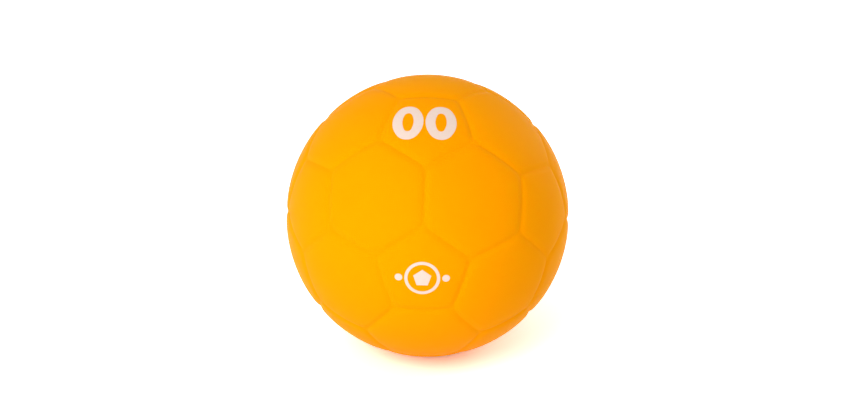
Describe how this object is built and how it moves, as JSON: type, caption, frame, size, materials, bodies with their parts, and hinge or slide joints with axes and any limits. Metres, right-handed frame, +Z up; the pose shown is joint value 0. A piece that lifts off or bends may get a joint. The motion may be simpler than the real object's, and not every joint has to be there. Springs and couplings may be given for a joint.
{
  "type": "handball",
  "caption": "Soft inflatable handball: hollow round skin with pressed-in pentagon and hexagon panels, printed size number and mark, and a needle valve at the back.",
  "frame": {"origin": "middle of the ball", "axes": "+Z up, -Y through the middle of the front panel that carries the mark, +Y out of the needle hole in the panel opposite"},
  "size_m": [0.1398, 0.1396, 0.14],
  "materials": {
    "skin": "satin",
    "valve_housing": "satin",
    "valve_rubber": "matte",
    "ink": "matte"
  },
  "bodies": {
    "root": {"cover": "skin", "valve_seat": "valve_housing", "valve_core": "valve_rubber", "size_number": "ink", "panel_mark": "ink"}
  },
  "joints": []
}
